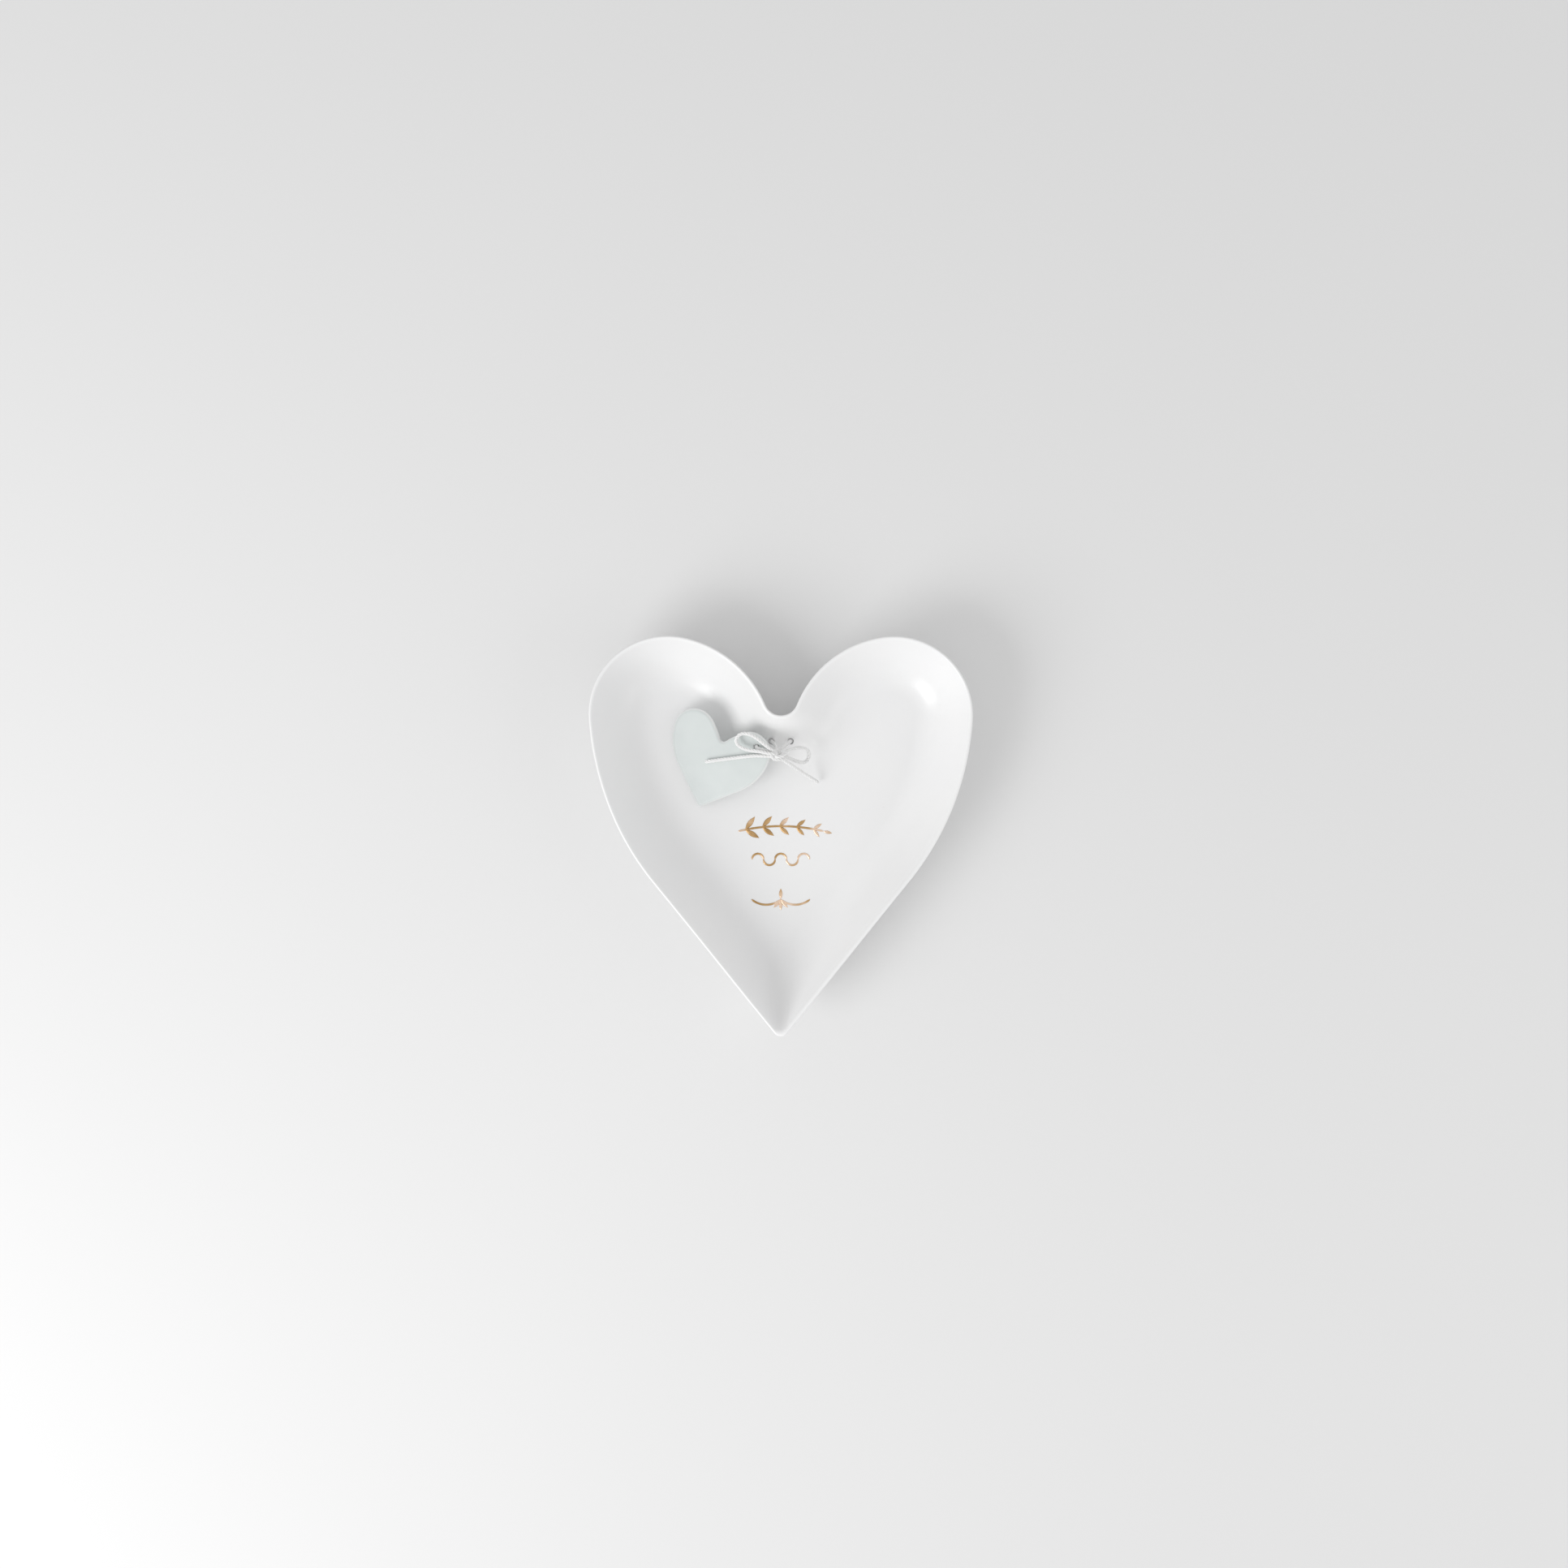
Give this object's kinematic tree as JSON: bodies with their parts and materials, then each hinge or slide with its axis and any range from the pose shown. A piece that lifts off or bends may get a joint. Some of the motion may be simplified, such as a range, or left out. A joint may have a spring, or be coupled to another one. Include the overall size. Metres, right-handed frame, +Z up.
{
  "type": "heart-shaped ring dish",
  "caption": "Shallow heart-shaped glazed ring dish with gold ornaments on its floor and a small flat heart tag tied on by a thin cord bow through two small holes.",
  "frame": {"origin": "on the table under the middle of the dish's outline", "axes": "+Z up, +Y towards the cleft of the heart, tip towards -Y, +X to the right"},
  "size_m": [0.1256, 0.1308, 0.02],
  "materials": {
    "white_glaze": "glossy white glaze",
    "mint_glaze": "satin pale mint glaze",
    "white_cord": "twisted cotton cord",
    "gold_lustre": "fired gold lustre"
  },
  "bodies": {
    "dish": {"dish": "white_glaze", "gold_sprig": "gold_lustre", "gold_wave": "gold_lustre", "gold_garland": "gold_lustre", "cord_lacing": "white_cord", "bow_loop_right": "white_cord", "cord_tail_right": "white_cord"},
    "knot": {"bow_knot": "white_cord"},
    "tag": {"heart_tag": "mint_glaze", "cord_tie": "white_cord", "bow_loop_left": "white_cord", "cord_tail_left": "white_cord"}
  },
  "joints": [
    {"name": "tag_swing", "type": "hinge", "parent": "dish", "child": "knot", "pos_m": [-0.0018, 0.0264, 0.0177], "axis": [0, 0, 1], "range_deg": [0, 30]},
    {"name": "tag_lift", "type": "hinge", "parent": "knot", "child": "tag", "pos_m": [-0.0018, 0.0264, 0.0177], "axis": [-0.3714, 0.9285, 0], "range_deg": [0, 60]}
  ]
}
